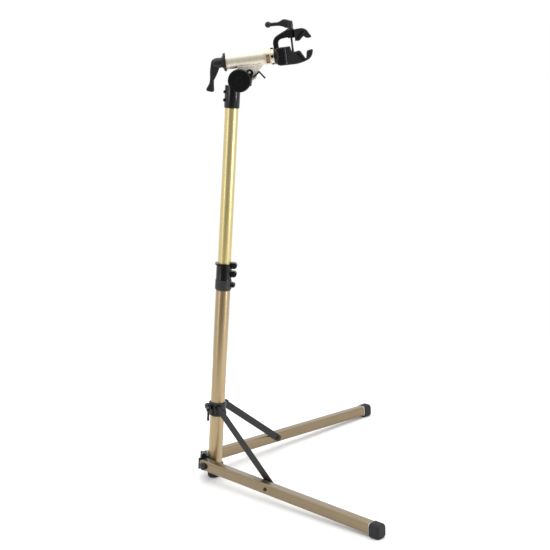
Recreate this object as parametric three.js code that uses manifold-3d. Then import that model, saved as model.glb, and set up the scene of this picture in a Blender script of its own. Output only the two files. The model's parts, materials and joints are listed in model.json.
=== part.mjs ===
// Bicycle repair stand: leaning telescopic column, two folding legs with braces, tilting head and clamp.
// Millimetres, +Z up, +X forward (the way the clamp reaches), left is +Y. The floor is z = 0 and
// the column's axis meets it at the origin.
import * as THREE from 'three';
import { mergeVertices } from 'three/addons/utils/BufferGeometryUtils.js';
import Module from 'manifold-3d';

const wasm = await Module();
wasm.setup();

// ---- driving dimensions -------------------------------------------------------------------
const LEAN = 7; // column's forward lean, degrees
const GAP = 0.3; // running clearance between pieces
const FIT = 0.15; // clearance between pieces that stay fixed to each other

const LOWER_R = 22; // lower tube, outside
const UPPER_R = 20; // upper tube, outside
const WALL = 1.7;
const LOWER_FROM = 22; // stations along the column, measured from the floor
const LOWER_TO = 633;
const UPPER_FROM = 484;
const UPPER_TO = 1200;

const SPLAY = 43; // each leg's angle from straight ahead, seen along the column
const LEG_RISE = 2.6; // leg's angle to the plane square to the column
const LEG_OFFSET = 42.5; // column axis to the leg's middle plane
const LEG_W = 30;
const LEG_H = 32;
const LEG_LENGTH = 672; // pivot to open end
const LEG_CORNER = 7;
const LEG_WALL = 2.4;
const PIVOT_AHEAD = 13; // pivot, along the leg's direction from the column axis
const PIVOT_HEIGHT = 51;
const CAP_LENGTH = 34;
const CAP_SOLE = 8; // cap's thickness under the leg

const BRACE_AT = 271; // lower brace pin, along the leg from its pivot
const BRACE_W = 22;
const BRACE_T = 4;
const LUG_AHEAD = 45; // upper brace pin, along the leg's direction from the column axis
const LUG_HEIGHT = 228;
const COLLAR_AT = 226; // middle of the sliding collar
const COLLAR_H = 44;
const COLLAR_R = 26.8;

const RING_FROM = 602; // ring on the lower tube's top
const SLEEVE_FROM = 635;
const SLEEVE_TO = 686;
const RING_R = 25;
const SLEEVE_R = 23.6;
const RING_SCREW = [29, 620]; // screws: ahead of the column axis, and station
const SLEEVE_SCREWS = [[30, 680], [30, 654]];

const HEAD_FROM = 1153; // socket that takes the upper tube
const HEAD_R = 23;
const TILT_X = 19.5; // tilt axis: ahead of the column axis, and station
const TILT_S = 1234;
const TILT_R = 34;
const CHEEK_IN = 10;
const CHEEK_OUT = 22;
const HEAD_SCREWS = [[-23.4, 1175.5], [-23.4, 1199.5]];
const PLATE_OUT = 17; // outer face of the index plates beside the fin
const INDEX_SCREW = [48, 1260]; // ahead of the column axis, and station

const ARM_RISE = 10.4; // arm's angle to the plane square to the column
const ARM_S = 1289.4; // station where the arm's axis crosses the column's
const ARM_R = 22;
const SHAFT_R = 17;
const ARM_FROM = -23.5; // stations along the arm
const FLANGE_T = 13.3; // rear flange's thickness at its hub
const ARM_TO = 91.5;
const RING_END = 108.5;
const FRONT_END = 118.5;

const SPINDLE_AT = 174.5; // spindle, along the arm's axis
const SPINDLE_R = 3.2;
const CRANK_LENGTH = 62;
const JAW_HALF = 15; // half width of the jaws

// ---- shapes -------------------------------------------------------------------------------
const rad = THREE.MathUtils.degToRad;

function solid(geometry) {
  const plain = geometry.clone();
  plain.deleteAttribute('normal');
  plain.deleteAttribute('uv');
  const merged = mergeVertices(plain, 1e-4);
  const vertProperties = new Float32Array(merged.attributes.position.array);
  const triVerts = new Uint32Array(merged.index.array);
  return new wasm.Manifold(new wasm.Mesh({ numProp: 3, vertProperties, triVerts }));
}

function geometryOf(manifold) {
  const mesh = manifold.getMesh();
  const geometry = new THREE.BufferGeometry();
  geometry.setAttribute('position', new THREE.BufferAttribute(mesh.vertProperties, 3));
  geometry.setIndex(new THREE.BufferAttribute(mesh.triVerts, 1));
  return geometry;
}

function join(...geometries) {
  return geometryOf(geometries.map(solid).reduce((a, b) => a.add(b)));
}

function cut(body, ...tools) {
  return geometryOf(tools.map(solid).reduce((a, b) => a.subtract(b), solid(body)));
}

function common(a, b) {
  return geometryOf(solid(a).intersect(solid(b)));
}

// a turned piece about +Z; profile is [radius, height] pairs from bottom to top
function turned(profile, segments = 28) {
  const points = profile.map(([r, z]) => new THREE.Vector2(r, z));
  return new THREE.LatheGeometry(points, segments).rotateX(Math.PI / 2);
}

function rod(radius, from, to, segments = 28) {
  return turned([[0, from], [radius, from], [radius, to], [0, to]], segments);
}

function pipe(inner, outer, from, to, segments = 32) {
  return turned([[inner, from], [outer, from], [outer, to], [inner, to], [inner, from]], segments);
}

// a rod along Y through (x, z), between two values of y given in either order
function crossRod(radius, x, z, y0, y1, segments = 16) {
  const lying = rod(radius, Math.min(y0, y1), Math.max(y0, y1), segments).rotateX(-Math.PI / 2);
  return lying.translate(x, 0, z);
}

function box(x0, x1, y0, y1, z0, z1) {
  const size = [x1 - x0, y1 - y0, z1 - z0];
  return new THREE.BoxGeometry(...size).translate((x0 + x1) / 2, (y0 + y1) / 2, (z0 + z1) / 2);
}

function outline(points) {
  return new THREE.Shape(points.map(([x, y]) => new THREE.Vector2(x, y)));
}

// an outline drawn in (x, z), given thickness from y0 to y1, its edges rounded by bevel
function plate(shape, y0, y1, bevel = 0, segments = 6) {
  const options = {
    depth: y1 - y0 - 2 * bevel,
    bevelEnabled: bevel > 0,
    bevelThickness: bevel,
    bevelSize: bevel,
    bevelOffset: -bevel,
    bevelSegments: 1,
    curveSegments: segments,
  };
  return new THREE.ExtrudeGeometry(shape, options).rotateX(Math.PI / 2).translate(0, y1 - bevel, 0);
}

// a round-ended bar outline between two points
function stadium(x0, z0, x1, z1, radius) {
  const turn = Math.atan2(z1 - z0, x1 - x0);
  const shape = new THREE.Shape();
  shape.absarc(x1, z1, radius, turn - Math.PI / 2, turn + Math.PI / 2, false);
  shape.absarc(x0, z0, radius, turn + Math.PI / 2, turn + 1.5 * Math.PI, false);
  return shape;
}

function roundedRect(w, h, r) {
  const shape = new THREE.Shape();
  shape.absarc(w / 2 - r, h / 2 - r, r, 0, Math.PI / 2, false);
  shape.absarc(r - w / 2, h / 2 - r, r, Math.PI / 2, Math.PI, false);
  shape.absarc(r - w / 2, r - h / 2, r, Math.PI, 1.5 * Math.PI, false);
  shape.absarc(w / 2 - r, r - h / 2, r, 1.5 * Math.PI, 2 * Math.PI, false);
  return shape;
}

// a rounded-rectangle bar along +X: w across y, h across z
function bar(w, h, r, from, to, bevel = 0) {
  const options = {
    depth: to - from - 2 * bevel,
    bevelEnabled: bevel > 0,
    bevelThickness: bevel,
    bevelSize: bevel,
    bevelOffset: -bevel,
    bevelSegments: 3,
    curveSegments: 3,
  };
  const shape = roundedRect(w, h, r);
  const geometry = new THREE.ExtrudeGeometry(shape, options);
  return geometry.rotateZ(Math.PI / 2).rotateY(Math.PI / 2).translate(from + bevel, 0, 0);
}

// a socket-head screw along +Y at (x, z): head outside y0, shank on to y1
function screw(x, z, headR, headH, shankR, y0, y1) {
  const end = y0 - Math.sign(y1 - y0) * headH;
  const head = crossRod(headR, x, z, end, y0);
  const shank = crossRod(shankR, x, z, y0, y1, 12);
  const socket = crossRod(headR * 0.5, x, z, end, end + (y0 - end) * 0.6, 6);
  return cut(join(head, shank), socket);
}

function mirrored(geometry) {
  const copy = geometry.clone().applyMatrix4(new THREE.Matrix4().makeScale(1, -1, 1));
  const index = copy.index.array.slice();
  for (let i = 0; i < index.length; i += 3) [index[i], index[i + 1]] = [index[i + 1], index[i]];
  copy.setIndex(new THREE.BufferAttribute(index, 1));
  return copy;
}

// ---- frames -------------------------------------------------------------------------------
const column = new THREE.Matrix4().makeRotationY(rad(LEAN));

const arm = column.clone()
  .multiply(new THREE.Matrix4().makeTranslation(0, 0, ARM_S))
  .multiply(new THREE.Matrix4().makeRotationY(rad(-ARM_RISE)));

// left leg: x along the leg's direction seen along the column, y outward from the column
const splayed = column.clone().multiply(new THREE.Matrix4().makeRotationZ(rad(SPLAY)));
const leg = splayed.clone()
  .multiply(new THREE.Matrix4().makeTranslation(PIVOT_AHEAD, LEG_OFFSET, PIVOT_HEIGHT))
  .multiply(new THREE.Matrix4().makeRotationY(rad(-LEG_RISE)));

const INNER_FACE = LEG_OFFSET - LEG_W / 2; // leg's inner face, from the column axis
const BRACE_IN = INNER_FACE - 0.5 - BRACE_T;
const BRACE_OUT = INNER_FACE - 0.5;

const place = (geometry, frame) => geometry.clone().applyMatrix4(frame);
const floor = box(-200, 800, -800, 800, -60, 0);
const columnBore = rod(LOWER_R + FIT, -20, 200);

// ---- column foot, lower tube and bracket --------------------------------------------------
function columnFoot() {
  const top = LOWER_FROM - FIT;
  const puck = turned([[0, 0], [15, 0], [18, 1.5], [19.5, 5], [19.5, 14], [0, 14]]);
  const neck = place(turned([[0, 4], [19.5, 4], [21, 10], [21, top], [0, top]]), column);
  const plug = place(rod(LOWER_R - WALL - FIT, 10, LOWER_FROM + 26), column);
  return cut(join(puck, neck, plug), floor);
}

function lowerTube() {
  return pipe(LOWER_R - WALL, LOWER_R, LOWER_FROM, LOWER_TO, 32);
}

function baseBracket() {
  const socket = rod(COLLAR_R, 24, 46);
  const back = box(-44, -12, -12, 12, 32, 70);
  const crown = crossRod(8, -34, 70, -12, 12);
  const cheek = plate(stadium(-6, PIVOT_HEIGHT, 20, PIVOT_HEIGHT - 6, 17), 18, INNER_FACE - GAP);
  const wall = plate(outline([[-15.5, 34], [-10.4, 34], [-10.4, 69], [-15.5, 69]]), 2, LEG_OFFSET + 13);
  const web = plate(outline([[-15.5, 34], [0, 34], [0, 66], [-15.5, 66]]), 4, 20);
  const left = join(cheek, wall, web).rotateZ(rad(SPLAY));
  const pivotHole = crossRod(5.2, PIVOT_AHEAD, PIVOT_HEIGHT, 15, 60).rotateZ(rad(SPLAY));
  const body = join(socket, back, crown, left, mirrored(left));
  return cut(body, columnBore, pivotHole, mirrored(pivotHole));
}

// ---- legs ---------------------------------------------------------------------------------
function legBore(from, to) {
  return bar(LEG_W - 2 * LEG_WALL, LEG_H - 2 * LEG_WALL, LEG_CORNER - LEG_WALL, from, to);
}

function legTube() {
  const outer = bar(LEG_W, LEG_H, LEG_CORNER, -30, LEG_LENGTH);
  const top = LEG_H / 2;
  const side = plate(outline([
    [-19, -1], [-9, -top], [LEG_LENGTH + 40, -top], [LEG_LENGTH + 40, top], [-14, top], [-19, top - 5],
  ]), -LEG_W, LEG_W);
  const hollow = cut(common(outer, side), legBore(-40, LEG_LENGTH + 10));
  const pivotHole = crossRod(5.4, 0, 0, -40, 40);
  const braceHole = crossRod(3.4, BRACE_AT, 0, -40, 40, 16);
  return cut(hollow, pivotHole, braceHole);
}

function legPivot() {
  const shank = crossRod(5, 0, 0, 21.4 - LEG_OFFSET, LEG_W / 2 + 1);
  const washer = crossRod(8, 0, 0, LEG_W / 2 + GAP, LEG_W / 2 + 2);
  const dome = turned([[0, 0], [12.5, 0], [12.5, 4], [11, 6.8], [7, 8.4], [0, 8.9]], 24);
  return join(shank, washer, dome.rotateX(-Math.PI / 2).translate(0, LEG_W / 2 + 1.8, 0));
}

function braceBolt() {
  const head = crossRod(6.6, BRACE_AT, 0, LEG_W / 2 + FIT, LEG_W / 2 + 3.8, 4);
  const shank = crossRod(3.1, BRACE_AT, 0, -LEG_W / 2 + 0.4, LEG_W / 2 + 1, 16);
  return join(head, shank);
}

function footRing() {
  const ring = bar(LEG_W + 2, LEG_H + 2, LEG_CORNER + 1, LEG_LENGTH + FIT, LEG_LENGTH + 2.4);
  return cut(ring, legBore(LEG_LENGTH - 5, LEG_LENGTH + 9));
}

function footCap() {
  const start = LEG_LENGTH + 2.6;
  const height = LEG_H + 3 + CAP_SOLE;
  const rounded = bar(LEG_W + 6, height, 12, start - 20, start + CAP_LENGTH, 8);
  rounded.translate(0, 0, (3 - CAP_SOLE) / 2);
  const ahead = box(start, start + 80, -60, 60, -60, 60);
  const slack = 2 * LEG_WALL + 0.6;
  const plug = bar(LEG_W - slack, LEG_H - slack, LEG_CORNER - LEG_WALL, LEG_LENGTH - 26, start + 5);
  return cut(place(join(common(rounded, ahead), plug), leg), floor);
}

// ---- braces and sliding collar ------------------------------------------------------------
const restPin = new THREE.Vector2(BRACE_AT, 0).rotateAround(new THREE.Vector2(), rad(LEG_RISE));
const LOW_PIN = [PIVOT_AHEAD + restPin.x, PIVOT_HEIGHT + restPin.y];

function brace() {
  const flat = plate(stadium(LUG_AHEAD, LUG_HEIGHT, ...LOW_PIN, BRACE_W / 2), BRACE_IN, BRACE_OUT);
  const upper = crossRod(4.4, LUG_AHEAD, LUG_HEIGHT, 0, 60);
  const lower = crossRod(4.2, ...LOW_PIN, 0, 60);
  return cut(flat, upper, lower);
}

function braceRivet() {
  const head = crossRod(8, ...LOW_PIN, BRACE_IN - 3, BRACE_IN - FIT);
  const stub = crossRod(4, ...LOW_PIN, BRACE_IN - 1, BRACE_OUT);
  return join(head, stub);
}

function lugPin() {
  const shank = crossRod(4, LUG_AHEAD, LUG_HEIGHT, 13.5, BRACE_OUT);
  const head = crossRod(7.5, LUG_AHEAD, LUG_HEIGHT, 11.5, 14.3);
  return join(shank, head);
}

const EAR_X = -31.5; // the collar's clamp ears stand this far behind the column axis
const EAR_Z = COLLAR_AT + 5;
const EAR_TURN = 12; // and are turned this far to the right, degrees

function slideCollar() {
  const from = COLLAR_AT - COLLAR_H / 2;
  const to = COLLAR_AT + COLLAR_H / 2;
  const e = COLLAR_R;
  const body = turned([[0, from], [e - 3, from], [e, from + 3], [e, to - 3], [e - 3, to], [0, to]]);
  const lug = plate(stadium(8, COLLAR_AT, LUG_AHEAD, LUG_HEIGHT, 13), 14.5, BRACE_IN - GAP);
  const pinHole = crossRod(4 + FIT, LUG_AHEAD, LUG_HEIGHT, 0, 60);
  const left = cut(lug, pinHole).rotateZ(rad(SPLAY));
  const ears = plate(stadium(-18, EAR_Z, EAR_X, EAR_Z, 8.5), -8, 8);
  const slit = box(-60, -10, -1.5, 1.5, 100, 400);
  const boltHole = crossRod(3.4, EAR_X, EAR_Z, -30, 30);
  const turn = rad(EAR_TURN);
  const bore = rod(LOWER_R + GAP, 100, 400, 32);
  const whole = join(body, left, mirrored(left), ears.rotateZ(turn));
  return cut(whole, slit.rotateZ(turn), boltHole.rotateZ(turn), bore);
}

function collarBolt() {
  const shank = crossRod(3.1, EAR_X, EAR_Z, -20, 11);
  const nut = crossRod(5.4, EAR_X, EAR_Z, 8 + FIT, 13, 6);
  const eye = crossRod(5, EAR_X, EAR_Z, -12, -8 - FIT);
  return join(shank, nut, eye).rotateZ(rad(EAR_TURN));
}

const CAM_Y = -21; // middle of the collar's cam
const CAM_R = 8.5;

function collarLever() {
  const barrel = rod(CAM_R, -5.5, 5.5, 24).rotateY(Math.PI / 2).translate(EAR_X, CAM_Y, EAR_Z);
  const bend = new THREE.CatmullRomCurve3([
    new THREE.Vector3(EAR_X, CAM_Y - 3, EAR_Z - 6),
    new THREE.Vector3(EAR_X, CAM_Y - 8, EAR_Z - 16),
    new THREE.Vector3(EAR_X, CAM_Y - 7, EAR_Z - 27),
    new THREE.Vector3(EAR_X, CAM_Y - 9, EAR_Z - 37),
  ]);
  const grip = new THREE.ExtrudeGeometry(roundedRect(7, 8, 2.4), {
    steps: 9, extrudePath: bend, bevelEnabled: false, curveSegments: 2,
  });
  const boltSweep = box(EAR_X - 3.5, EAR_X + 3.5, CAM_Y - 20, CAM_Y + 20, EAR_Z - 3.6, EAR_Z + 20);
  return join(cut(barrel, boltSweep), grip).rotateZ(rad(EAR_TURN));
}

// ---- clamp at the top of the lower tube ---------------------------------------------------
function ear(x, s, r, half) {
  return plate(stadium(x - 14, s, x, s, r), -half, half, 1.5);
}

function midRing() {
  const body = turned([
    [0, RING_FROM], [RING_R - 3, RING_FROM], [RING_R, RING_FROM + 5],
    [RING_R, SLEEVE_FROM - 2], [RING_R - 1, SLEEVE_FROM - GAP], [0, SLEEVE_FROM - GAP],
  ]);
  const lobe = ear(...RING_SCREW, 7.5, 9);
  const slit = box(10, 60, -1, 1, 500, 700);
  const hole = crossRod(3.2, ...RING_SCREW, -30, 30);
  return cut(join(body, lobe), rod(LOWER_R + FIT, 500, 700, 32), slit, hole);
}

function midSleeve() {
  const body = rod(SLEEVE_R, SLEEVE_FROM, SLEEVE_TO);
  const rim = common(rod(28, SLEEVE_TO - 5, SLEEVE_TO), box(-40, -8, -22, 22, 0, 900));
  const heelTop = SLEEVE_FROM + 4;
  const heel = turned([[0, SLEEVE_FROM], [RING_R - 1, SLEEVE_FROM], [SLEEVE_R, heelTop], [0, heelTop]]);
  const lobes = SLEEVE_SCREWS.map((at) => ear(...at, 9.5, 10));
  const slit = box(10, 60, -1, 1, 500, 800);
  const holes = SLEEVE_SCREWS.map((at) => crossRod(3.2, ...at, -30, 30));
  return cut(join(body, rim, heel, ...lobes), rod(UPPER_R + GAP, 500, 800, 32), slit, ...holes);
}

function lobeScrew(at, half, headR) {
  return screw(...at, headR, 4.5, 3, -half - FIT, half - 1);
}

function upperTube() {
  return pipe(UPPER_R - WALL, UPPER_R, UPPER_FROM, UPPER_TO, 32);
}

// ---- head ---------------------------------------------------------------------------------
function headCasting() {
  const socket = turned([
    [0, HEAD_FROM], [HEAD_R - 1, HEAD_FROM], [HEAD_R, HEAD_FROM + 2], [HEAD_R, 1219], [0, 1219],
  ]);
  const disc = new THREE.Shape();
  disc.absarc(TILT_X, TILT_S, TILT_R, 0, 2 * Math.PI, false);
  const cheeks = plate(disc, -CHEEK_OUT, CHEEK_OUT, 2.5, 16);
  const under = plate(outline([
    [-18, 1194], [10, 1196], [38, 1200], [49, 1212], [51, 1226], [20, 1240], [-12, 1226],
  ]), -PLATE_OUT, PLATE_OUT);
  const chin = common(under, crossRod(TILT_R - 0.2, TILT_X, TILT_S, -40, 40, 48));
  const bosses = HEAD_SCREWS.map(([x, s]) => plate(stadium(x + 2, s, -14, s, 5), -11, 11, 1));
  const mouth = crossRod(TILT_R - 2.4, TILT_X, TILT_S, -CHEEK_IN, CHEEK_IN, 32);
  const open = plate(outline([
    [TILT_X - 26, TILT_S], [TILT_X + 16, TILT_S - 24], [TILT_X + 23, TILT_S - 34],
    [TILT_X + 36, TILT_S - 39], [TILT_X + 60, TILT_S - 39],
    [TILT_X + 60, TILT_S + 60], [TILT_X - 40, TILT_S + 60],
  ]), -CHEEK_IN, CHEEK_IN);
  const bore = rod(UPPER_R + FIT, 1100, UPPER_TO + FIT, 32);
  const slit = box(-60, -10, -1, 1, 1100, 1215);
  const pin = crossRod(7.2, TILT_X, TILT_S, -40, 40);
  const holes = HEAD_SCREWS.map((at) => crossRod(2.2, ...at, -40, 40, 12));
  return cut(join(socket, cheeks, chin, ...bosses), mouth, open, bore, slit, pin, ...holes);
}

function headScrew(at) {
  return screw(...at, 3.1, 2.4, 2, -11 - FIT, 10);
}

function tiltPin() {
  const shank = crossRod(7, TILT_X, TILT_S, -CHEEK_OUT - 0.5, CHEEK_OUT + 0.5);
  const heads = [-1, 1].map((side) => (
    crossRod(11, TILT_X, TILT_S, side * (CHEEK_OUT + FIT), side * (CHEEK_OUT + 2.5), 24)
  ));
  return join(shank, ...heads);
}

function tiltDisc() {
  const disc = crossRod(TILT_R - 3, TILT_X, TILT_S, -CHEEK_IN + GAP, CHEEK_IN - GAP, 32);
  return cut(disc, crossRod(7.3, TILT_X, TILT_S, -40, 40));
}

// a plate against the fin's side, hollowed to turn round the outside of the head's cheek
function indexPlate() {
  const shape = new THREE.Shape();
  shape.moveTo(44, 1219);
  shape.lineTo(54.5, 1220.5);
  shape.lineTo(55.8, 1238);
  shape.absarc(48.5, 1258.5, 10.5, rad(-42), rad(150), false);
  const body = plate(shape, CHEEK_IN, PLATE_OUT, 1, 8);
  const cheek = crossRod(TILT_R + 0.5, TILT_X, TILT_S, -60, 60, 64);
  return cut(body, cheek, crossRod(3, ...INDEX_SCREW, -60, 60));
}

function indexScrew() {
  return screw(...INDEX_SCREW, 3.8, 2.2, 2.7, PLATE_OUT + FIT, CHEEK_IN + FIT);
}

// ---- arm ----------------------------------------------------------------------------------
const alongArm = (geometry) => geometry.rotateY(Math.PI / 2);

function armSleeve() {
  return alongArm(pipe(SHAFT_R + GAP, ARM_R, ARM_FROM, ARM_TO, 32));
}

// tilt axis as seen from the arm's own axes
const tiltFromArm = new THREE.Vector2(TILT_X, TILT_S - ARM_S)
  .rotateAround(new THREE.Vector2(), rad(-ARM_RISE));

function armSaddle() {
  const half = CHEEK_IN - GAP;
  const fin = plate(outline([
    [8, -15], [82, -15], [82, -24], [66, -40], [58, -58], [48, -62], [36, -60], [8, -40],
  ]), -half, half);
  const cradle = alongArm(pipe(ARM_R - 1, ARM_R + 2.4, 8, 78, 32));
  const under = box(-10, 90, -15, 15, -40, -17);
  const body = join(fin, common(cradle, under));
  const disc = crossRod(TILT_R - 3 + FIT, tiltFromArm.x, tiltFromArm.y, -60, 60, 32);
  const hole = crossRod(2.7, 51, -53, -60, 60, 16);
  return cut(body, alongArm(rod(ARM_R + FIT, -50, 100, 32)), disc, hole);
}

function tiltLever() {
  const y0 = -CHEEK_IN - 5;
  const y1 = -CHEEK_IN;
  const limbs = join(
    plate(stadium(51, -53, 70, -39.5, 2.3), y0, y1, 0, 6),
    plate(stadium(70, -39.5, 84, -58.5, 2.3), y0, y1, 0, 6),
  );
  const eye = crossRod(2.9, 51, -53, y0, y1);
  const stub = crossRod(2.4, 51, -53, y1 - 1, 9, 16);
  return join(limbs, eye, stub);
}

function rearFlange() {
  const end = ARM_FROM - FIT;
  return alongArm(turned([
    [9.4, end - FLANGE_T], [15, end - FLANGE_T], [19, end - 8.5], [25, end - 7.2], [27, end - 5.4],
    [27, end - 1], [26, end], [9.4, end], [9.4, end - FLANGE_T],
  ]));
}

function rearHandle() {
  const end = ARM_FROM - FIT - FLANGE_T - GAP;
  const hub = alongArm(turned([
    [0, end - 24], [11, end - 24], [14.5, end - 20], [15.6, end - 10],
    [14, end], [9, end], [9, -18], [0, -18],
  ]));
  const lever = new THREE.Shape();
  lever.moveTo(-57, 13);
  lever.quadraticCurveTo(-64, 13, -67, 4);
  lever.quadraticCurveTo(-73, -14, -74.5, -26);
  lever.quadraticCurveTo(-76, -46, -81, -56);
  lever.lineTo(-91, -69);
  lever.quadraticCurveTo(-93, -75, -88, -77);
  lever.lineTo(-76, -81);
  lever.quadraticCurveTo(-69, -81, -69, -76);
  lever.quadraticCurveTo(-68, -60, -66, -48);
  lever.quadraticCurveTo(-58, -38, -50.5, -25);
  lever.lineTo(-45, -14);
  lever.lineTo(-45, 8);
  return join(hub, plate(lever, -8, 8, 3, 4));
}

function slotRing() {
  const r = ARM_R + 2.4;
  const ring = alongArm(turned([
    [SHAFT_R + 3.2, ARM_TO + FIT], [r, ARM_TO + FIT], [r, ARM_TO + 2], [ARM_R + 0.6, ARM_TO + 2.6],
    [ARM_R + 0.6, RING_END - 2.6], [r, RING_END - 2], [r, RING_END], [SHAFT_R + 3.2, RING_END],
    [SHAFT_R + 3.2, ARM_TO + FIT],
  ], 32));
  const window = box(ARM_TO + 2.8, RING_END - 2.8, -40, -5, -18.5, 7);
  return cut(ring, window);
}

function frictionBand() {
  return alongArm(pipe(SHAFT_R + GAP, SHAFT_R + 3.2 - FIT, ARM_TO + FIT, RING_END - FIT, 32));
}

function armShaft() {
  return alongArm(turned([
    [0, -15], [SHAFT_R - 2, -15], [SHAFT_R, -13], [SHAFT_R, FRONT_END - FIT], [0, FRONT_END - FIT],
  ], 32));
}

function frontRing() {
  const from = RING_END + GAP;
  const ring = alongArm(pipe(SHAFT_R + FIT, ARM_R - 1, from, FRONT_END - FIT, 32));
  const mid = (from + FRONT_END) / 2;
  const sideHole = crossRod(2.6, mid, 0, -40, 0, 16);
  const topHole = rod(2.4, -40, 40, 16).translate(mid, 0, 0);
  return cut(ring, sideHole, topHole);
}

// a cap screw pressed into the front ring, turned about the arm from the top
function frontScrew(turn) {
  const mid = (RING_END + GAP + FRONT_END) / 2;
  const seat = ARM_R - 0.8;
  const shank = rod(2.2, SHAFT_R + 2 * FIT, ARM_R, 16);
  const head = turned([[0, seat], [4.3, seat], [4.3, seat + 2.4], [3.2, seat + 3.2], [0, seat + 3.2]], 20);
  return join(shank, head).rotateX(rad(turn)).translate(mid, 0, 0);
}

// ---- clamp --------------------------------------------------------------------------------
const GUIDE_AT = 152;

function clampBody() {
  const disc = alongArm(turned([
    [0, FRONT_END], [23, FRONT_END], [25, FRONT_END + 2], [25, FRONT_END + 9], [22, 131], [0, 131],
  ]));
  const block = plate(outline([
    [126, -27], [134, -30], [GUIDE_AT - FIT, -30.5], [GUIDE_AT - FIT, 22], [126, 22],
  ]), -18, 18, 2.5);
  const ribs = [133, 139, 145].map((x) => box(x, x + 2.6, -30, 30, -24, 17));
  const core = box(120, 160, -16.6, 16.6, -60, 60);
  const flatDisc = cut(disc, box(100, 160, -40, 40, 22, 60));
  return join(flatDisc, cut(block, ...ribs.map((rib) => cut(rib, core))));
}

function clampArm() {
  const neck = new THREE.Shape();
  neck.moveTo(120, 22 + FIT);
  neck.lineTo(119.5, 34);
  neck.quadraticCurveTo(120, 48, 131, 55.5);
  neck.quadraticCurveTo(143, 62, 158, 68);
  neck.lineTo(163, 71);
  neck.lineTo(181, 71);
  neck.lineTo(182, 44);
  neck.lineTo(166, 47.5);
  neck.quadraticCurveTo(150, 47, 142, 44.5);
  neck.quadraticCurveTo(135, 41, 135, 34);
  neck.lineTo(135, 22 + FIT);
  const body = plate(neck, -11, 11, 2.5, 8);
  const boss = rod(10, 45, 71.5, 24).translate(SPINDLE_AT, 0, 0);
  return cut(join(body, boss), rod(SPINDLE_R + GAP, 0, 120, 24).translate(SPINDLE_AT, 0, 0));
}

const JAW_START = 184.5; // where the upper jaw bolts on to the arm

// the same recess sunk 5 deep into both sides of a piece that is 2 * half thick
function pockets(recess, half) {
  return [-half - 5, half - 5].map((y) => plate(recess, y, y + 10));
}

function upperJaw() {
  const jaw = new THREE.Shape();
  jaw.moveTo(JAW_START, 35);
  jaw.lineTo(195, 34);
  jaw.quadraticCurveTo(201, 36, 204, 41);
  jaw.lineTo(210.5, 45.5);
  jaw.lineTo(216, 40.5);
  jaw.quadraticCurveTo(226, 37, 232.5, 41);
  jaw.quadraticCurveTo(232.5, 46, 227, 51);
  jaw.quadraticCurveTo(222, 66, 208, 69);
  jaw.quadraticCurveTo(196, 70, JAW_START, 68);
  const body = plate(jaw, -JAW_HALF, JAW_HALF, 1.5, 6);
  const recess = outline([[189, 39], [197, 42], [206, 50], [214, 61], [205, 61], [194, 52]]);
  return cut(body, ...pockets(recess, JAW_HALF));
}

function jawGuide() {
  return box(GUIDE_AT, GUIDE_AT + 2.2, -17, 17, -30.5, 22);
}

function lowerJaw() {
  const start = GUIDE_AT + 2.2 + GAP;
  const jaw = new THREE.Shape();
  jaw.moveTo(start, -30.5);
  jaw.lineTo(176, -31);
  jaw.quadraticCurveTo(200, -30, 218, -21.5);
  jaw.quadraticCurveTo(231, -14, 232.5, 4);
  jaw.lineTo(230, 6);
  jaw.lineTo(217, 4);
  jaw.quadraticCurveTo(213.5, 2, 213, -4);
  jaw.lineTo(211, -16.5);
  jaw.lineTo(207.5, -17);
  jaw.lineTo(197, 3);
  jaw.quadraticCurveTo(192, 8.5, 185, 5.5);
  jaw.quadraticCurveTo(175, 3, 170, 10);
  jaw.lineTo(167, 22);
  jaw.lineTo(start, 22);
  const body = plate(jaw, -JAW_HALF - 1, JAW_HALF + 1, 2.5, 8);
  const recess = outline([[183, 0], [191, 0], [201, -15], [209, -22], [202, -22], [190, -10]]);
  const bore = rod(SPINDLE_R + GAP, -60, 60, 24).translate(SPINDLE_AT, 0, 0);
  return cut(body, ...pockets(recess, JAW_HALF + 1), bore);
}

function spindle() {
  const stem = rod(SPINDLE_R, -22, 74, 24);
  const collar = turned([[0, 71.8], [8.5, 71.8], [8.5, 74], [0, 74]], 24);
  return join(stem, collar).translate(SPINDLE_AT, 0, 0);
}

function crank() {
  const hub = turned([
    [0, 74 + FIT], [8, 74 + FIT], [9, 78], [9, 90], [7, 94], [0, 94.5],
  ], 24).translate(SPINDLE_AT, 0, 0);
  const end = SPINDLE_AT - CRANK_LENGTH;
  const lever = new THREE.Shape();
  lever.moveTo(end - 2, 85);
  lever.lineTo(end + 24, 84);
  lever.quadraticCurveTo(end + 38, 83, SPINDLE_AT - 13, 75);
  lever.lineTo(SPINDLE_AT + 7, 75);
  lever.lineTo(SPINDLE_AT + 7, 86);
  lever.quadraticCurveTo(SPINDLE_AT + 6, 94, SPINDLE_AT - 3, 97);
  lever.lineTo(SPINDLE_AT - 12, 100);
  lever.quadraticCurveTo(SPINDLE_AT - 18, 101.5, SPINDLE_AT - 24, 98);
  lever.quadraticCurveTo(end + 32, 94.5, end + 24, 94.5);
  lever.lineTo(end - 2, 95.5);
  return join(hub, plate(lever, -6.5, 6.5, 2.5, 6));
}

function crankKnob() {
  const ball = new THREE.SphereGeometry(9.5, 18, 12).rotateX(Math.PI / 2);
  ball.translate(SPINDLE_AT - CRANK_LENGTH, 0, 90.5);
  return cut(ball, crank());
}

// ---- assembly -----------------------------------------------------------------------------
const BLACK = ['#1d1e20', 0.5, 0.1];
const RUBBER = ['#19191a', 0.85, 0];
const STEEL = ['#b9bbbd', 0.3, 1];
const GOLD = ['#c9ae72', 0.35, 1];
const TAN = ['#b3967a', 0.38, 1];
const BRONZE = ['#a5875c', 0.4, 1];
const CHAMPAGNE = ['#e0d8bf', 0.32, 1];
const BROWN = ['#8a6a45', 0.5, 0.6];

const stand = new THREE.Group();
stand.name = 'bike_repair_stand';

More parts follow.
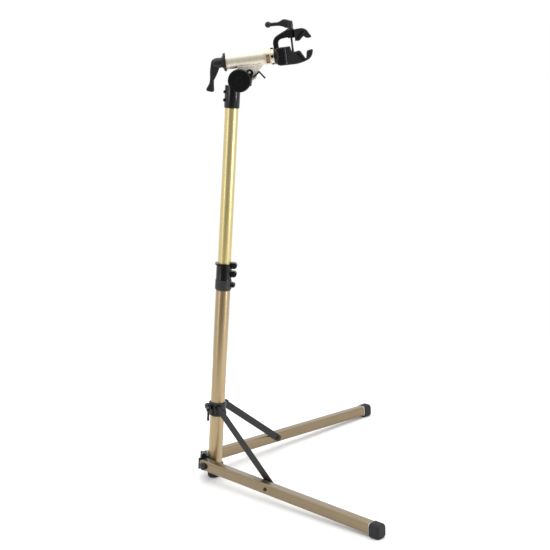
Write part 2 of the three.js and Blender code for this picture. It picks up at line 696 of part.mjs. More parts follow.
function add(name, geometry, finish) {
  const flat = geometry.index ? geometry : mergeVertices(geometry, 1e-4);
  const [color, roughness, metalness] = finish;
  const mesh = new THREE.Mesh(flat, new THREE.MeshStandardMaterial({ color, roughness, metalness }));
  mesh.name = name;
  stand.add(mesh);
}

function addPair(name, geometry, finish) {
  add(`${name}_left`, geometry, finish);
  add(`${name}_right`, mirrored(geometry), finish);
}

add('column_foot', columnFoot(), RUBBER);
add('lower_tube', place(lowerTube(), column), TAN);
add('base_bracket', place(baseBracket(), column), BLACK);
addPair('leg', place(legTube(), leg), BRONZE);
addPair('leg_pivot', place(legPivot(), leg), BLACK);
addPair('brace_bolt', place(braceBolt(), leg), BLACK);
addPair('foot_ring', place(footRing(), leg), STEEL);
addPair('foot_cap', footCap(), RUBBER);
addPair('brace', place(brace(), splayed), BLACK);
addPair('brace_rivet', place(braceRivet(), splayed), BLACK);
addPair('lug_pin', place(lugPin(), splayed), BLACK);
add('slide_collar', place(slideCollar(), column), BLACK);
add('collar_bolt', place(collarBolt(), column), STEEL);
add('collar_lever', place(collarLever(), column), BLACK);
add('mid_ring', place(midRing(), column), BLACK);
add('mid_ring_screw', place(lobeScrew(RING_SCREW, 9, 4.6), column), BLACK);
add('mid_sleeve', place(midSleeve(), column), BLACK);
add('sleeve_screw_upper', place(lobeScrew(SLEEVE_SCREWS[0], 10, 5.8), column), BLACK);
add('sleeve_screw_lower', place(lobeScrew(SLEEVE_SCREWS[1], 10, 5.8), column), BLACK);
add('upper_tube', place(upperTube(), column), GOLD);
add('head_casting', place(headCasting(), column), BLACK);
add('head_screw_lower', place(headScrew(HEAD_SCREWS[0]), column), BLACK);
add('head_screw_upper', place(headScrew(HEAD_SCREWS[1]), column), BLACK);
add('tilt_pin', place(tiltPin(), column), BLACK);
add('tilt_disc', place(tiltDisc(), column), BLACK);
addPair('index_plate', place(indexPlate(), column), BLACK);
addPair('index_screw', place(indexScrew(), column), STEEL);
add('arm_sleeve', place(armSleeve(), arm), CHAMPAGNE);
add('arm_saddle', place(armSaddle(), arm), CHAMPAGNE);
add('tilt_lever', place(tiltLever(), arm), BLACK);
add('rear_flange', place(rearFlange(), arm), BLACK);
add('rear_handle', place(rearHandle(), arm), BLACK);
add('slot_ring', place(slotRing(), arm), CHAMPAGNE);
add('friction_band', place(frictionBand(), arm), BROWN);
add('arm_shaft', place(armShaft(), arm), STEEL);
add('front_ring', place(frontRing(), arm), CHAMPAGNE);
add('front_screw_top', place(frontScrew(0), arm), BLACK);
add('front_screw_side', place(frontScrew(90), arm), BLACK);
add('front_screw_bottom', place(frontScrew(180), arm), BLACK);
add('clamp_body', place(clampBody(), arm), BLACK);
add('clamp_arm', place(clampArm(), arm), BLACK);
add('upper_jaw', place(upperJaw(), arm), BLACK);
add('jaw_guide', place(jawGuide(), arm), STEEL);
add('lower_jaw', place(lowerJaw(), arm), BLACK);
add('spindle', place(spindle(), arm), BLACK);
add('crank', place(crank(), arm), BLACK);
add('crank_knob', place(crankKnob(), arm), BLACK);

export default stand;
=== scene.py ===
"""Looks of the bike repair stand, built round its CAD frame. Metres, +Z up, the clamp reaches +X."""
import json
import math

import bmesh
import bpy
from mathutils import Matrix, Vector

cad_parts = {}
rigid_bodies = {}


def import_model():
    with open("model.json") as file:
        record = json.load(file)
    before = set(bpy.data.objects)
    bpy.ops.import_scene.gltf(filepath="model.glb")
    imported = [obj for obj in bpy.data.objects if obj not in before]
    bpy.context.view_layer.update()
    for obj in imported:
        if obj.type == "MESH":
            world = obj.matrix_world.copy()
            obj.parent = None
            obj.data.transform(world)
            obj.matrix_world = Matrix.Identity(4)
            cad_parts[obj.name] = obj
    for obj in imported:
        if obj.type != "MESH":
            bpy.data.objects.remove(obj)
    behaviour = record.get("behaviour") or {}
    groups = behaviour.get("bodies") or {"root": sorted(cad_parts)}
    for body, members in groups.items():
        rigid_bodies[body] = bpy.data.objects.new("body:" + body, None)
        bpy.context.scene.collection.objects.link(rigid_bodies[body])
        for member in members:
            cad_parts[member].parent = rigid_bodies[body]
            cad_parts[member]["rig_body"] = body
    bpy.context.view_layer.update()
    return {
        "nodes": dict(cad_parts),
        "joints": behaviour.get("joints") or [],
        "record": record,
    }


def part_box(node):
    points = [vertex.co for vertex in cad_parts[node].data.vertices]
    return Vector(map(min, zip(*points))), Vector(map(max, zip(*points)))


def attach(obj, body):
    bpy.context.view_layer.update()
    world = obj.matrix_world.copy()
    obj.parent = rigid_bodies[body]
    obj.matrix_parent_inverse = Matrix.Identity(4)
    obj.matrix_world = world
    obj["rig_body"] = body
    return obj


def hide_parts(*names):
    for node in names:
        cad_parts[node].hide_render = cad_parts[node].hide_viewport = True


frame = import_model()

MM = 0.001
NODES = frame["nodes"]
JOINTS = {joint["name"]: joint for joint in frame["joints"]}
SLOTS = {part["node"]: part["material_slot"] for part in frame["record"]["subparts"]}
SIDES = ("left", "right")


# ---- places, read from the frame -------------------------------------------------------------
def local_frame(origin, z_axis, x_near):
    """A frame at origin with Z along z_axis and X as near x_near as that allows."""
    z = Vector(z_axis).normalized()
    y = z.cross(Vector(x_near)).normalized()
    turn = Matrix((y.cross(z), y, z)).transposed()
    return Matrix.Translation(Vector(origin)) @ turn.to_4x4()


def points_of(node):
    return [v.co.copy() for v in NODES[node].data.vertices]


def middle_of(node):
    low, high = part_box(node)
    return (low + high) / 2


def local_box(node, place):
    """Lowest and highest corner of a CAD node, seen in the frame place."""
    inverse = place.inverted()
    seen = [inverse @ point for point in points_of(node)]
    low = Vector([min(p[i] for p in seen) for i in range(3)])
    high = Vector([max(p[i] for p in seen) for i in range(3)])
    return low, high


AHEAD = (1, 0, 0)
UP = (0, 0, 1)
COLUMN = local_frame((0, 0, 0), JOINTS["column_swivel"]["axis"], AHEAD)
ARM = local_frame(JOINTS["clamp_turn"]["pos_m"], JOINTS["clamp_turn"]["axis"], UP)
SPINDLE = local_frame(JOINTS["crank_turn"]["pos_m"], JOINTS["crank_turn"]["axis"], AHEAD)
TILT = local_frame(JOINTS["head_tilt"]["pos_m"], JOINTS["head_tilt"]["axis"], AHEAD)


def leg_frame(side):
    """Z runs along the leg from its pivot, X is up."""
    pivot = Vector(JOINTS[f"leg_{side}_fold"]["pos_m"])
    ring = middle_of(f"foot_ring_{side}")
    return local_frame(pivot, ring - pivot, UP)


LEG = {side: leg_frame(side) for side in SIDES}


# ---- outlines and meshes ---------------------------------------------------------------------
def rounded(points, reach, steps=4):
    """The outline with each corner turned into a curve. A closed one repeats its first point."""
    closed = points[0] == points[-1]
    ring = [Vector(p) for p in (points[:-1] if closed else points)]
    made = []
    for i, corner in enumerate(ring):
        if not closed and i in (0, len(ring) - 1):
            made.append(tuple(corner))
            continue
        before = ring[i - 1] - corner
        after = ring[(i + 1) % len(ring)] - corner
        back = min(reach, 0.45 * before.length, 0.45 * after.length)
        start = corner + before.normalized() * back
        end = corner + after.normalized() * back
        for step in range(steps + 1):
            t = step / steps
            made.append(tuple(start * (1 - t) ** 2 + corner * 2 * t * (1 - t) + end * t * t))
    return made + [made[0]] if closed else made


def mesh_from(vertices, faces):
    mesh = bpy.data.meshes.new("shape")
    mesh.from_pydata(vertices, [], faces)
    mesh.validate()
    for face in mesh.polygons:
        face.use_smooth = True
    mesh.set_sharp_from_angle(angle=math.radians(34))
    return mesh


def lathe(profile, steps=96):
    """Turns (radius, height) points about Z."""
    closed = profile[0] == profile[-1]
    rows = profile[:-1] if closed else profile
    vertices = []
    rings = []
    for radius, z in rows:
        if radius < 1e-7:
            rings.append([len(vertices)] * steps)
            vertices.append((0, 0, z))
            continue
        rings.append([len(vertices) + i for i in range(steps)])
        turns = [2 * math.pi * i / steps for i in range(steps)]
        vertices += [(radius * math.cos(a), radius * math.sin(a), z) for a in turns]
    pairs = list(zip(rings, rings[1:]))
    if closed:
        pairs.append((rings[-1], rings[0]))
    faces = []
    for low, high in pairs:
        for i in range(steps):
            j = (i + 1) % steps
            faces.append(list(dict.fromkeys((low[i], low[j], high[j], high[i]))))
    return mesh_from(vertices, faces)


def tube(inner, outer, low, high, edge=0.4 * MM):
    ring = [(inner, low), (outer, low), (outer, high), (inner, high), (inner, low)]
    return lathe(rounded(ring, edge, 3), 128)


def rounded_rectangle(height, width, radius, steps=10):
    """Points of an upright section, X up and Y across."""
    made = []
    for quarter in range(4):
        x = (height / 2 - radius) * (1 if quarter in (0, 3) else -1)
        y = (width / 2 - radius) * (1 if quarter in (0, 1) else -1)
        for step in range(steps + 1):
            turn = (quarter + step / steps) * math.pi / 2
            made.append((x + radius * math.cos(turn), y + radius * math.sin(turn)))
    return made


def loft(loops, ends=True):
    """Skins closed loops of 3-D points that all have the same count."""
    count = len(loops[0])
    vertices = [point for loop in loops for point in loop]
    faces = []
    for row in range(len(loops) - 1):
        for i in range(count):
            j = (i + 1) % count
            low, high = row * count, (row + 1) * count
            faces.append((low + i, low + j, high + j, high + i))
    if ends:
        last = (len(loops) - 1) * count
        faces.append(tuple(reversed(range(count))))
        faces.append(tuple(range(last, last + count)))
    return mesh_from(vertices, faces)


def cad_copy(node, place):
    """The CAD node's shape in the frame place, its flat facets merged into whole faces."""
    source = NODES[node].data
    shape = bmesh.new()
    shape.from_mesh(source)
    bmesh.ops.remove_doubles(shape, verts=shape.verts, dist=1e-6)
    limit = math.radians(1.5)
    bmesh.ops.dissolve_limit(shape, angle_limit=limit, verts=shape.verts, edges=shape.edges)
    shape.transform(place.inverted())
    shape.verts.index_update()
    vertices = [v.co.copy() for v in shape.verts]
    faces = [[v.index for v in face.verts] for face in shape.faces]
    shape.free()
    return mesh_from(vertices, faces)


# ---- pieces ----------------------------------------------------------------------------------
def add_piece(name, mesh, place, paint, *nodes):
    """A piece that stands for CAD nodes of one body and rides on that body."""
    piece = bpy.data.objects.new(name, mesh)
    bpy.context.scene.collection.objects.link(piece)
    piece.matrix_world = place
    piece.data.materials.append(paint)
    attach(piece, NODES[nodes[0]]["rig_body"])
    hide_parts(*nodes)
    return piece


def round_edges(piece, width, steps=3, angle=30):
    edges = piece.modifiers.new("edges", "BEVEL")
    edges.width = width
    edges.segments = steps
    edges.limit_method = "ANGLE"
    edges.angle_limit = math.radians(angle)
    edges.harden_normals = True
    return piece


def softened(name, node, place, paint, width):
    """The CAD node's shape with its edges rounded."""
    return round_edges(add_piece(name, cad_copy(node, place), place, paint, node), width)


# ---- materials -------------------------------------------------------------------------------
NOISE_LOW, NOISE_HIGH = 0.3, 0.7


def map_range(tree, value, start, end, low, high):
    """A node that takes start..end to low..high."""
    ranged = tree.nodes.new("ShaderNodeMapRange")
    for socket, number in zip(("From Min", "From Max", "To Min", "To Max"), (start, end, low, high)):
        ranged.inputs[socket].default_value = number
    tree.links.new(value, ranged.inputs["Value"])
    return ranged.outputs["Result"]


def grey(level):
    return (level, level, level)


class Paint:
    """A procedural material that is worked out in each piece's own frame, Z along its length."""

    def __init__(self, name, roughness, metallic=0.0, **sockets):
        self.material = bpy.data.materials.new(name)
        self.material.use_nodes = True
        self.tree = self.material.node_tree
        self.shader = self.tree.nodes["Principled BSDF"]
        self.shader.inputs["Roughness"].default_value = roughness
        self.shader.inputs["Metallic"].default_value = metallic
        for socket, value in sockets.items():
            self.shader.inputs[socket.replace("_", " ")].default_value = value
        self.place = self.tree.nodes.new("ShaderNodeTexCoord").outputs["Object"]

    def noise(self, across, along, detail=3.0):
        """Cloudy noise, with so many patches to the metre across and along the piece."""
        mapping = self.tree.nodes.new("ShaderNodeMapping")
        mapping.inputs["Scale"].default_value = (across, across, along)
        noise = self.tree.nodes.new("ShaderNodeTexNoise")
        noise.inputs["Scale"].default_value = 1.0
        noise.inputs["Detail"].default_value = detail
        self.tree.links.new(self.place, mapping.inputs["Vector"])
        self.tree.links.new(mapping.outputs["Vector"], noise.inputs["Vector"])
        return noise.outputs["Fac"]

    def cells(self, per_metre):
        """Distance to the nearest of scattered points: a moulded or sprayed grain."""
        cells = self.tree.nodes.new("ShaderNodeTexVoronoi")
        cells.inputs["Scale"].default_value = per_metre
        self.tree.links.new(self.place, cells.inputs["Vector"])
        return cells.outputs["Distance"]

    def colour(self, value, first, second):
        ramp = self.tree.nodes.new("ShaderNodeValToRGB")
        ramp.color_ramp.elements[0].position = NOISE_LOW
        ramp.color_ramp.elements[1].position = NOISE_HIGH
        ramp.color_ramp.elements[0].color = (*first, 1)
        ramp.color_ramp.elements[1].color = (*second, 1)
        self.tree.links.new(value, ramp.inputs["Fac"])
        self.tree.links.new(ramp.outputs["Color"], self.shader.inputs["Base Color"])
        return self

    def roughness(self, value, low, high):
        ranged = map_range(self.tree, value, NOISE_LOW, NOISE_HIGH, low, high)
        self.tree.links.new(ranged, self.shader.inputs["Roughness"])
        return self

    def bump(self, value, height, strength=0.5):
        bump = self.tree.nodes.new("ShaderNodeBump")
        bump.inputs["Strength"].default_value = strength
        bump.inputs["Distance"].default_value = height
        self.tree.links.new(value, bump.inputs["Height"])
        self.tree.links.new(bump.outputs["Normal"], self.shader.inputs["Normal"])
        return self


def anodised(name, dark, light, roughness, metallic=1.0):
    """Drawn aluminium with a dyed, sealed skin: fine lines along the piece, a slow change of tint."""
    paint = Paint(name, roughness, metallic, Coat_Weight=0.6, Coat_Roughness=0.22)
    paint.colour(paint.noise(25, 5, 4), dark, light)
    lines = paint.noise(1400, 18, 2)
    paint.roughness(lines, roughness - 0.04, roughness + 0.06)
    return paint.bump(lines, 0.015 * MM, 0.15).material


def cast_black(name, shade, roughness, shine=0.32):
    """Powder-coated metal: fine orange-peel skin and a slightly uneven sheen."""
    paint = Paint(name, roughness, Specular_IOR_Level=shine)
    paint.colour(paint.noise(120, 120, 5), grey(0.75 * shade), grey(1.3 * shade))
    paint.roughness(paint.noise(350, 350, 4), roughness - 0.07, roughness + 0.1)
    return paint.bump(paint.noise(1600, 1600, 3), 0.06 * MM, 0.4).material


def cast_metal(name, tint, roughness):
    """Bead-blasted casting, partly matt."""
    paint = Paint(name, roughness, 0.25, Specular_IOR_Level=0.5)
    paint.colour(paint.noise(150, 150, 5), 0.94 * Vector(tint), 1.04 * Vector(tint))
    paint.roughness(paint.noise(500, 500, 4), roughness - 0.05, roughness + 0.08)
    return paint.bump(paint.noise(2200, 2200, 3), 0.05 * MM, 0.5).material


def moulded(name, tint, roughness, grain, height):
    """Moulded plastic or rubber with a spark-eroded grain."""
    paint = Paint(name, roughness, Specular_IOR_Level=0.35)
    paint.colour(paint.noise(200, 200, 5), 0.8 * Vector(tint), 1.25 * Vector(tint))
    paint.roughness(paint.noise(500, 500, 3), roughness - 0.05, roughness + 0.07)
    return paint.bump(paint.cells(grain), height, 0.5).material


def turned_steel(name, shade, roughness):
    """Bare steel with fine turning marks round the piece."""
    paint = Paint(name, roughness, 1.0)
    paint.colour(paint.noise(300, 60, 4), grey(0.85 * shade), grey(1.1 * shade))
    rings = paint.noise(60, 2500, 2)
    paint.roughness(rings, roughness - 0.06, roughness + 0.1)
    return paint.bump(rings, 0.01 * MM, 0.4).material


PAINTS = {
    "gold_tube": anodised("gold_anodised", (0.58, 0.47, 0.20), (0.64, 0.53, 0.25), 0.34, 0.8),
    "tan_tube": anodised("tan_anodised", (0.35, 0.26, 0.135), (0.40, 0.30, 0.165), 0.33, 0.85),
    "bronze_tube": anodised("bronze_anodised", (0.19, 0.14, 0.077), (0.23, 0.172, 0.096), 0.30),
    "champagne_metal": anodised("champagne_anodised", (0.68, 0.62, 0.49), (0.74, 0.68, 0.55), 0.40, 0.6),
    "rubber": moulded("black_rubber", grey(0.009), 0.66, 900, 0.10 * MM),
    # The foot ring's pale grey is a painted highlight: it stands for the bright line where each leg meets its
    # boot.
    "grey_ring": moulded("grey_painted_highlight", grey(0.50), 0.45, 1500, 0.03 * MM),
    "black_casting": cast_black("black_powder_coat", 0.006, 0.26),
    "black_nylon": moulded("black_nylon", grey(0.013), 0.40, 1400, 0.05 * MM),
    "black_steel": cast_black("black_steel", 0.007, 0.30),
    "bright_steel": turned_steel("bright_steel", 0.62, 0.28),
    "dull_steel": turned_steel("dull_steel", 0.26, 0.38),
    "brown_band": moulded("brown_plastic", (0.30, 0.19, 0.10), 0.5, 1500, 0.04 * MM),
}
GLOSS_BLACK = cast_black("gloss_black_casting", 0.002, 0.17, 0.42)
SATIN_BLACK = cast_black("satin_black_casting", 0.022, 0.42)
PALE_CASTING = cast_metal("pale_casting", (0.78, 0.73, 0.63), 0.45)
OWN_PAINTS = {
    "head_casting": GLOSS_BLACK, "tilt_disc": GLOSS_BLACK, "tilt_pin": GLOSS_BLACK,
    "index_plate_left": GLOSS_BLACK, "index_plate_right": GLOSS_BLACK,
    "mid_sleeve": GLOSS_BLACK, "mid_ring": SATIN_BLACK, "arm_saddle": PALE_CASTING,
}


def paint_for(node):
    return OWN_PAINTS.get(node, PAINTS[SLOTS[node]])


# ---- column and feet -------------------------------------------------------------------------
def build_tube(name, node):
    low, high = local_box(node, COLUMN)
    wall = 1.7 * MM
    add_piece(name, tube(high.x - wall, high.x, low.z, high.z), COLUMN, paint_for(node), node)


def build_column_foot():
    """A rubber sleeve on the leaning tube's end, and a flat round sole under it."""
    tube_end = local_box("lower_tube", COLUMN)[0].z
    radius = 21 * MM
    neck = [(0, 5 * MM), (radius - 1.5 * MM, 5 * MM), (radius, 11 * MM), (radius, tube_end), (0, tube_end)]
    paint = paint_for("column_foot")
    add_piece("column_foot_neck", lathe(rounded(neck, 1.2 * MM)), COLUMN, paint, "column_foot")
    sole = [(0, 0), (15 * MM, 0), (19.5 * MM, 4 * MM), (19.5 * MM, 14 * MM), (0, 14 * MM)]
    place = Matrix.Identity(4)
    add_piece("column_foot_sole", lathe(rounded(sole, 1.5 * MM)), place, paint, "column_foot")


# ---- legs ------------------------------------------------------------------------------------
LEG_CORNER = 7 * MM
LEG_WALL = 2.4 * MM
CREST = -MM  # height at which the leg's rear end reaches furthest back
LOWER_SWEEP = 0.53  # how much of the reach the lower rounding takes off
UPPER_SWEEP = 0.26
UPPER_START = 0.69  # where the upper rounding starts, as a part of half the height


def rear_end(height, half, back):
    """How far back the leg's rear end reaches at a height: rounded off, more below than above."""
    if height < CREST:
        t = (CREST - height) / (half + CREST)
        sweep = LOWER_SWEEP
    else:
        t = max(0.0, (height - UPPER_START * half) / ((1 - UPPER_START) * half))
        sweep = UPPER_SWEEP
    return -back + sweep * back * (1 - math.sqrt(max(0.0, 1 - t * t)))


def build_leg(side):
    node = f"leg_{side}"
    place = LEG[side]
    low, high = local_box(node, place)
    height, width = high.x - low.x, high.y - low.y
    half, back = height / 2, -low.z
    outer = rounded_rectangle(height, width, LEG_CORNER)
    inner = rounded_rectangle(height - 2 * LEG_WALL, width - 2 * LEG_WALL, LEG_CORNER - LEG_WALL)
    loops = [
        [(x, y, high.z) for x, y in inner],
        [(x, y, rear_end(x, half, back)) for x, y in inner],
        [(x, y, rear_end(x, half, back)) for x, y in outer],
        [(x, y, high.z) for x, y in outer],
        [(x, y, high.z) for x, y in inner],
    ]
    piece = add_piece(f"{node}_tube", loft(loops, ends=False), place, paint_for(node), node)
    shape = bmesh.new()
    shape.from_mesh(piece.data)
    bmesh.ops.remove_doubles(shape, verts=shape.verts, dist=1e-6)
    shape.to_mesh(piece.data)
    shape.free()
    round_edges(piece, 0.4 * MM, 2, 50)


# The trim ring's shape is real; its pale grey paint is a painted highlight for the bright edge line at the
# boot.
def build_foot_ring(side):
    node = f"foot_ring_{side}"
    place = LEG[side]
    low, high = local_box(node, place)
    height, width = high.x - low.x, high.y - low.y
    outer = rounded_rectangle(height, width, LEG_CORNER + MM)
    small = rounded_rectangle(height - 0.8 * MM, width - 0.8 * MM, LEG_CORNER + 0.6 * MM)
    loops = [
        [(x, y, low.z) for x, y in small],
        [(x, y, low.z + 0.4 * MM) for x, y in outer],
        [(x, y, high.z - 0.4 * MM) for x, y in outer],
        [(x, y, high.z) for x, y in small],
    ]
    add_piece(f"{node}_trim", loft(loops), place, paint_for(node), node)


def build_foot_cap(side):
    """A thick rubber boot with a soft outer end, flat where it stands on the floor."""
    node = f"foot_cap_{side}"
    place = LEG[side]
    ring_end = local_box(f"foot_ring_{side}", place)[1].z
    low, high = local_box(node, place)
    lip, bend = 1.2 * MM, 9 * MM
    corner, least_corner = 12 * MM, 3 * MM
    tuck = 0.9  # how far the soft end draws in, as a part of the bend
    height, width = high.x - low.x, high.y - low.y
    middle = (high.x + low.x) / 2
    steps = 8

    def section(z, inset):
        radius = max(least_corner, corner - 0.6 * inset)
        loop = rounded_rectangle(height - 2 * inset, width - 2 * inset, radius)
        return [(x + middle, y, z) for x, y in loop]

    loops = [section(ring_end, lip), section(ring_end + 0.4 * MM, 0.5 * lip), section(ring_end + lip, 0)]
    for step in range(steps + 1):
        turn = step / steps * math.pi / 2
        inset = bend * (1 - math.cos(turn)) * tuck
        loops.append(section(high.z - bend + bend * math.sin(turn), inset))
    mesh = loft(loops)
    inverse = place.inverted()
    for vertex in mesh.vertices:
        world = place @ vertex.co
        world.z = max(0.0, world.z)
        vertex.co = inverse @ world
    add_piece(f"{node}_boot", mesh, place, paint_for(node), node)


# ---- arm -------------------------------------------------------------------------------------
def build_arm_sleeve():
    low, high = local_box("arm_sleeve", ARM)
    inner = local_box("arm_shaft", ARM)[1].x + 0.3 * MM
    sleeve = tube(inner, high.x, low.z, high.z, 0.8 * MM)
    add_piece("arm_sleeve_tube", sleeve, ARM, paint_for("arm_sleeve"), "arm_sleeve")


def build_friction_band():
    """Ribbed band that shows through the ring's window."""
    low, high = local_box("friction_band", ARM)
    inner, outer = high.x - 2.7 * MM, high.x
    ribs = 8
    pitch = (high.z - low.z) / ribs
    profile = [(inner, low.z)]
    for rib in range(ribs):
        z = low.z + rib * pitch
        profile += [(outer - 0.4 * MM, z), (outer, z + 0.3 * pitch), (outer, z + 0.7 * pitch)]
    profile += [(outer - 0.4 * MM, high.z), (inner, high.z), (inner, low.z)]
    add_piece("friction_band_ribbed", lathe(profile), ARM, paint_for("friction_band"), "friction_band")


def build_tilt_disc():
    """The disc between the cheeks, with locking teeth round its rim."""
    low, high = local_box("tilt_disc", TILT)
    teeth, depth = 60, 1.4 * MM
    rim = high.x
    bore = 7.3 * MM
    steps = teeth * 4
    loops = []
    for radius, z, toothed in (
        (bore, low.z, False), (rim - 3 * MM, low.z, False), (rim, low.z + MM, True),
        (rim, high.z - MM, True), (rim - 3 * MM, high.z, False), (bore, high.z, False), (bore, low.z, False),
    ):
        loop = []
        for step in range(steps):
            dip = depth if toothed and step % 4 in (0, 1) else 0
            turn = 2 * math.pi * step / steps
            loop.append(((radius - dip) * math.cos(turn), (radius - dip) * math.sin(turn), z))
        loops.append(loop)
    add_piece("tilt_disc_toothed", loft(loops, ends=False), TILT, paint_for("tilt_disc"), "tilt_disc")


# ---- clamp -----------------------------------------------------------------------------------
def build_spindle():
    """A screw with a real thread between its plain ends."""
    low, high = local_box("spindle", SPINDLE)
    radius, depth = 3.2 * MM, 0.45 * MM
    pitch, starts = 8 * MM, 4
    flange_radius, flange_thickness = 8.5 * MM, 2.2 * MM
    top = high.z - flange_thickness
    around, rows = 40, 420
    loops = []
    for row in range(rows + 1):
        z = low.z + (top - low.z) * row / rows
        ease = min(1.0, (z - low.z) / (2 * MM), (top - z) / (6 * MM))
        loop = []
        for step in range(around):
            phase = (starts * (z / pitch - step / around)) % 1.0
            groove = min(1.0, max(0.0, 1.5 - 3 * abs(phase - 0.5))) * max(0.0, ease)
            turn = 2 * math.pi * step / around
            reach = radius - depth * groove
            loop.append((reach * math.cos(turn), reach * math.sin(turn), z))
        loops.append(loop)
    add_piece("spindle_screw", loft(loops), SPINDLE, paint_for("spindle"), "spindle")
    flange = [(0, top), (flange_radius, top), (flange_radius, high.z), (0, high.z)]
    add_piece("spindle_flange", lathe(rounded(flange, 0.5 * MM)), SPINDLE, paint_for("spindle"), "spindle")


def build_knob():
    """The crank's knob: a flattened ball with a parting line."""
    low, high = local_box("crank_knob", SPINDLE)
    middle = (low + high) / 2
    radius = (high.y - low.y) / 2
    steps = 32
    profile = []
    for step in range(steps + 1):
        turn = math.pi * (step / steps - 0.5)
        line = 0.02 if step == steps // 2 else 0
        reach = 0 if step in (0, steps) else radius * (math.cos(turn) - line)
        profile.append((reach, 0.96 * radius * math.sin(turn)))
    place = SPINDLE @ Matrix.Translation((middle.x, 0, high.z - radius))
    add_piece("crank_knob_ball", lathe(profile, 64), place, paint_for("crank_knob"), "crank_knob")


# ---- castings, levers and fixings: the CAD shapes with rounded edges ---------------------------
def build_softened():
    column_parts = {
        "base_bracket": 1.0, "slide_collar": 0.9, "collar_bolt": 0.3, "collar_lever": 0.8,
        "mid_ring": 0.7, "mid_sleeve": 0.7, "head_casting": 0.9,
        "mid_ring_screw": 0.35, "sleeve_screw_upper": 0.35, "sleeve_screw_lower": 0.35,
        "head_screw_lower": 0.25, "head_screw_upper": 0.25, "tilt_pin": 0.6,
        "index_plate_left": 0.6, "index_plate_right": 0.6, "index_screw_left": 0.3, "index_screw_right": 0.3,
    }
    arm_parts = {
        "arm_saddle": 0.8, "slot_ring": 0.35, "front_ring": 0.35, "arm_shaft": 0.5, "rear_flange": 0.5,
        "front_screw_top": 0.3, "front_screw_side": 0.3, "front_screw_bottom": 0.3, "rear_handle": 1.2,
        "clamp_body": 0.7, "clamp_arm": 0.9, "upper_jaw": 0.7, "lower_jaw": 0.8, "jaw_guide": 0.3,
        "crank": 0.9, "tilt_lever": 0.5,
    }
    for node, width in column_parts.items():
        softened(f"{node}_soft", node, COLUMN, paint_for(node), width * MM)
    for node, width in arm_parts.items():
        softened(f"{node}_soft", node, ARM, paint_for(node), width * MM)
    for side in SIDES:
        leg_parts = {"leg_pivot": 0.5, "brace_bolt": 0.4, "brace": 0.8, "brace_rivet": 0.8, "lug_pin": 0.6}
        for part, width in leg_parts.items():
            node = f"{part}_{side}"
            softened(f"{node}_soft", node, LEG[side], paint_for(node), width * MM)


# ---- stage -----------------------------------------------------------------------------------
def build_floor():
    half = 1.45
    corners = [(-half, -half, 0), (half, -half, 0), (half, half, 0), (-half, half, 0)]
    floor = bpy.data.objects.new("floor", mesh_from(corners, [(0, 1, 2, 3)]))
    bpy.context.scene.collection.objects.link(floor)
    white = Paint("pale_floor", 0.7, Specular_IOR_Level=0.2, Emission_Strength=0.03)
    white.shader.inputs["Emission Color"].default_value = (1, 1, 1, 1)
    white.colour(white.noise(2, 2), (0.88, 0.88, 0.88), (0.90, 0.90, 0.90))
    floor.data.materials.append(white.material)


def add_light(name, at, target, size, power):
    lamp = bpy.data.lights.new(name, "AREA")
    lamp.shape = "RECTANGLE"
    lamp.size, lamp.size_y = size
    lamp.energy = power
    light = bpy.data.objects.new(name, lamp)
    light.location = at
    light.rotation_euler = (Vector(target) - Vector(at)).to_track_quat("-Z", "Y").to_euler()
    bpy.context.scene.collection.objects.link(light)


def build_lights():
    centre = (0.1, 0, 1.1)
    add_light("overhead", (0.2, 0.2, 4.2), (0.2, 0, 0), (4, 4), 40)
    add_light("left_bank", (-2.6, -2.2, 1.2), centre, (0.7, 2.2), 15)
    add_light("right_bank", (3.0, -1.4, 0.8), centre, (0.5, 1.5), 36)


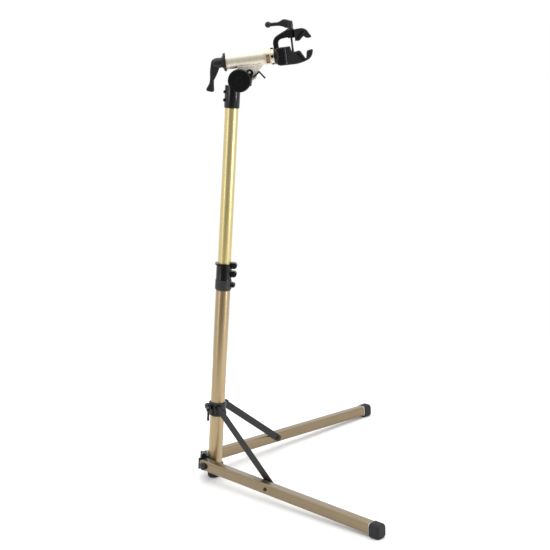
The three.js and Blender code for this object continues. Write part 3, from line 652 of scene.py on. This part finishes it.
def build_world():
    """A white room, brighter above and behind the stand, with a dark end behind the camera."""
    world = bpy.data.worlds.new("studio")
    world.use_nodes = True
    tree = world.node_tree
    room = tree.nodes["Background"]
    room.inputs["Color"].default_value = (1, 1, 1, 1)
    direction = tree.nodes.new("ShaderNodeTexCoord").outputs["Generated"]
    split = tree.nodes.new("ShaderNodeSeparateXYZ")
    tree.links.new(direction, split.inputs["Vector"])
    # The first range runs from behind the camera to the sides, the second from the horizon up.
    total = tree.nodes.new("ShaderNodeMath")
    tree.links.new(map_range(tree, split.outputs["Y"], -0.97, -0.35, 0.20, 1.0), total.inputs[0])
    tree.links.new(map_range(tree, split.outputs["Z"], 0.15, 0.9, 0.0, 0.6), total.inputs[1])
    tree.links.new(total.outputs["Value"], room.inputs["Strength"])

    backdrop = tree.nodes.new("ShaderNodeBackground")
    backdrop.inputs["Color"].default_value = (1, 1, 1, 1)
    either = tree.nodes.new("ShaderNodeMixShader")
    tree.links.new(tree.nodes.new("ShaderNodeLightPath").outputs["Is Camera Ray"], either.inputs["Fac"])
    tree.links.new(room.outputs["Background"], either.inputs[1])
    tree.links.new(backdrop.outputs["Background"], either.inputs[2])
    tree.links.new(either.outputs["Shader"], tree.nodes["World Output"].inputs["Surface"])
    bpy.context.scene.world = world
    bpy.context.scene.view_settings.view_transform = "Standard"


def build_camera():
    """A long lens at the height of the clamp, looking slightly down, turned left and rolled a few degrees."""
    yaw, pitch, roll = (math.radians(a) for a in (-3.06, 11.91, -3.89))
    forward = Vector((math.sin(yaw) * math.cos(pitch), math.cos(yaw) * math.cos(pitch), -math.sin(pitch)))
    level = Vector((math.cos(yaw), -math.sin(yaw), 0))
    upright = level.cross(forward)
    across = level * math.cos(roll) + upright * math.sin(roll)
    up = upright * math.cos(roll) - level * math.sin(roll)
    data = bpy.data.cameras.new("camera")
    data.lens = 78.44
    camera = bpy.data.objects.new("camera", data)
    place = Matrix((across, up, -forward)).transposed().to_4x4()
    place.translation = (0.4240, -3.5475, 1.3841)
    camera.matrix_world = place
    bpy.context.scene.collection.objects.link(camera)
    bpy.context.scene.camera = camera


# ---- the whole -------------------------------------------------------------------------------
build_tube("lower_tube_drawn", "lower_tube")
build_tube("upper_tube_drawn", "upper_tube")
build_column_foot()
for side in SIDES:
    build_leg(side)
    build_foot_ring(side)
    build_foot_cap(side)
build_arm_sleeve()
build_friction_band()
build_tilt_disc()
build_spindle()
build_knob()
build_softened()
build_floor()
build_lights()
build_world()
build_camera()
